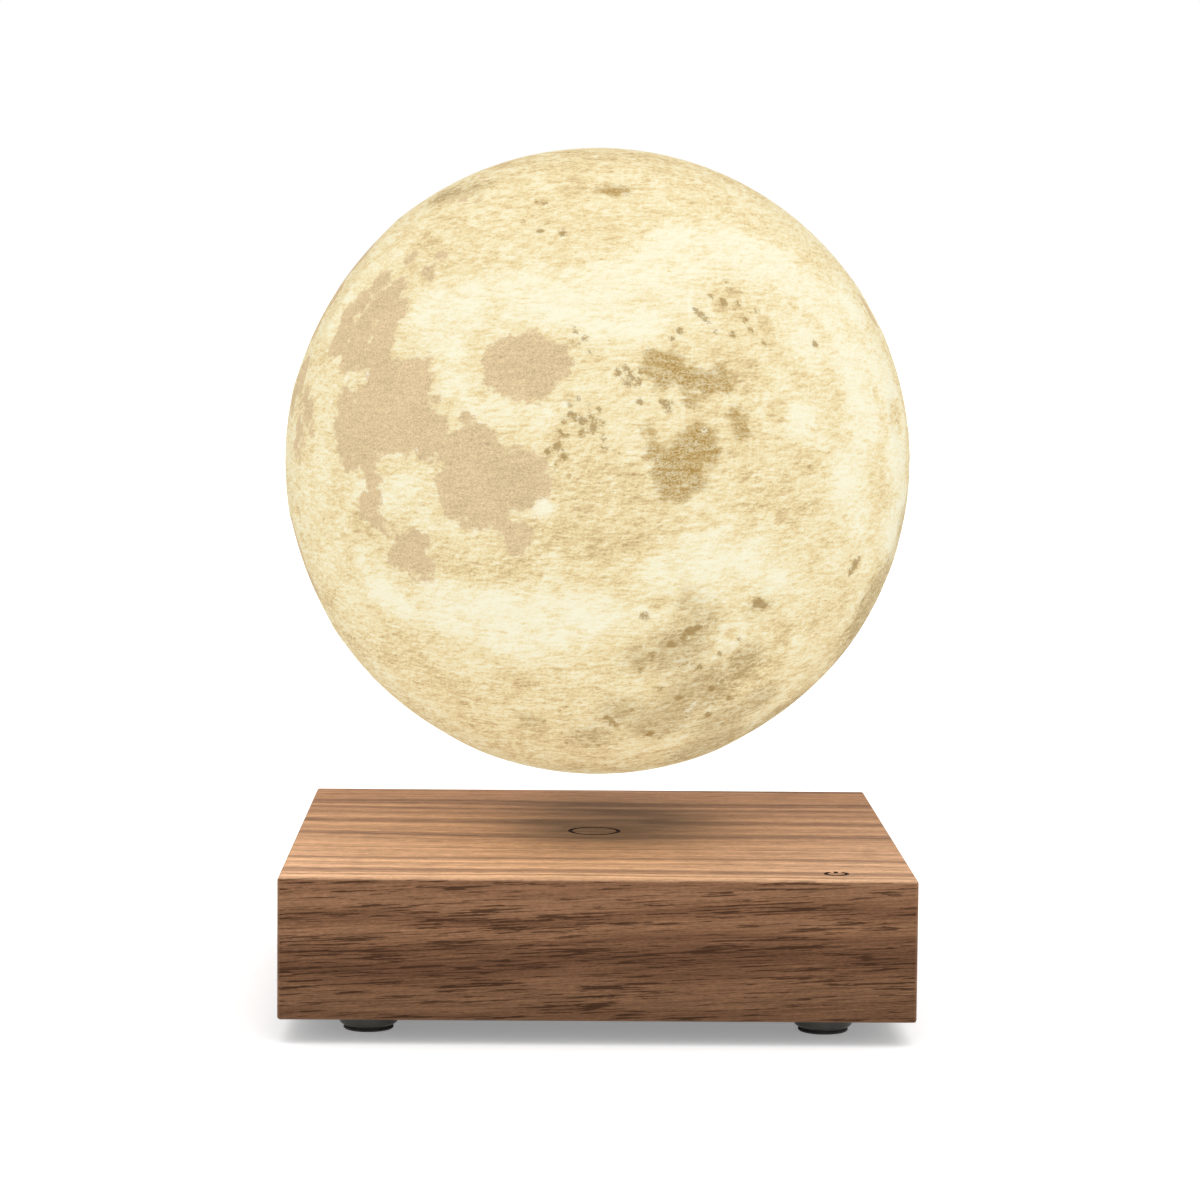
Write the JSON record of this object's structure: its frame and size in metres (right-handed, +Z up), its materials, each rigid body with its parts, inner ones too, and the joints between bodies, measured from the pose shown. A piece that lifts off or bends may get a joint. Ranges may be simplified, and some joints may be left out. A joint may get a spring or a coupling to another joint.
{
  "type": "moon lamp",
  "caption": "Glowing printed moon that floats above a square walnut base with four feet, a touch mark and a rear low-voltage inlet.",
  "frame": {"origin": "on the table, under the middle of the base and of the moon above it", "axes": "+Z up, the front with the touch mark faces -Y, +X to the viewer's right"},
  "size_m": [0.1496, 0.1496, 0.2022],
  "materials": {
    "walnut": "oiled walnut, sanded smooth",
    "plate_black": "moulded, fine texture",
    "screw_steel": "zinc plated",
    "foot_plastic": "turned, satin",
    "foot_rubber": "soft, matt",
    "board_green": "solder resist",
    "chip_black": "moulded",
    "capacitor_can": "drawn can",
    "jack_black": "moulded",
    "pin_nickel": "nickel plated",
    "lead_grey": "flexible lead",
    "connector_nylon": "natural nylon",
    "tray_black": "moulded",
    "ferrite": "sintered, ground",
    "bobbin_black": "moulded",
    "winding_tape": "enamelled wire under tape",
    "core_iron": "machined",
    "coil_fibre": "glass fibre sheet",
    "copper_wire": "enamelled copper",
    "magnet_nickel": "nickel plated",
    "moon_print": "printed in fine layers, translucent, lit from inside",
    "pad_foam": "foam",
    "led_board_white": "white solder resist"
  },
  "bodies": {
    "base": {"walnut_housing": "walnut", "bottom_plate": "plate_black", "plate_screw_front_left": "screw_steel", "plate_screw_front_right": "screw_steel", "plate_screw_rear_right": "screw_steel", "plate_screw_rear_left": "screw_steel", "foot_front_left": "foot_plastic", "foot_front_right": "foot_plastic", "foot_rear_right": "foot_plastic", "foot_rear_left": "foot_plastic", "foot_pad_front_left": "foot_rubber", "foot_pad_front_right": "foot_rubber", "foot_pad_rear_right": "foot_rubber", "foot_pad_rear_left": "foot_rubber", "main_board": "board_green", "module_screw_front_left": "screw_steel", "module_screw_front_right": "screw_steel", "module_screw_rear_right": "screw_steel", "module_screw_rear_left": "screw_steel", "driver_chip_right": "chip_black", "driver_chip_left": "chip_black", "controller_chip": "chip_black", "supply_capacitor_left": "capacitor_can", "supply_capacitor_right": "capacitor_can", "dc_jack_body": "jack_black", "dc_jack_pin": "pin_nickel", "touch_board": "board_green", "touch_chip": "chip_black", "touch_lead": "lead_grey", "touch_connector": "connector_nylon", "magnet_tray": "tray_black", "ring_magnet": "ferrite", "bobbin_front": "bobbin_black", "bobbin_right": "bobbin_black", "bobbin_rear": "bobbin_black", "bobbin_left": "bobbin_black", "winding_front": "winding_tape", "winding_right": "winding_tape", "winding_rear": "winding_tape", "winding_left": "winding_tape", "core_front": "core_iron", "core_right": "core_iron", "core_rear": "core_iron", "core_left": "core_iron", "sensor_header": "chip_black", "sensor_board": "board_green", "coil_plate": "coil_fibre", "transmit_coil": "copper_wire"},
    "float_magnet": {"levitation_magnet": "magnet_nickel"},
    "moon": {"moon_shell": "moon_print", "moon_base_cap": "moon_print", "magnet_pad": "pad_foam", "receive_coil": "copper_wire", "led_board": "led_board_white", "led_screw_rear": "screw_steel", "led_screw_left": "screw_steel", "led_screw_right": "screw_steel", "rectifier": "chip_black", "receiver_capacitor": "capacitor_can"}
  },
  "joints": [
    {"name": "moon_lift", "type": "slide", "parent": "base", "child": "float_magnet", "axis": [0, 0, 1], "range_m": [-0.0149, 0.1], "stiffness_N_per_m": 80, "springref_m": 0.0264},
    {"name": "moon_spin", "type": "hinge", "parent": "float_magnet", "child": "moon", "pos_m": [0, 0, 0.1274], "axis": [0, 0, 1], "continuous": true}
  ]
}
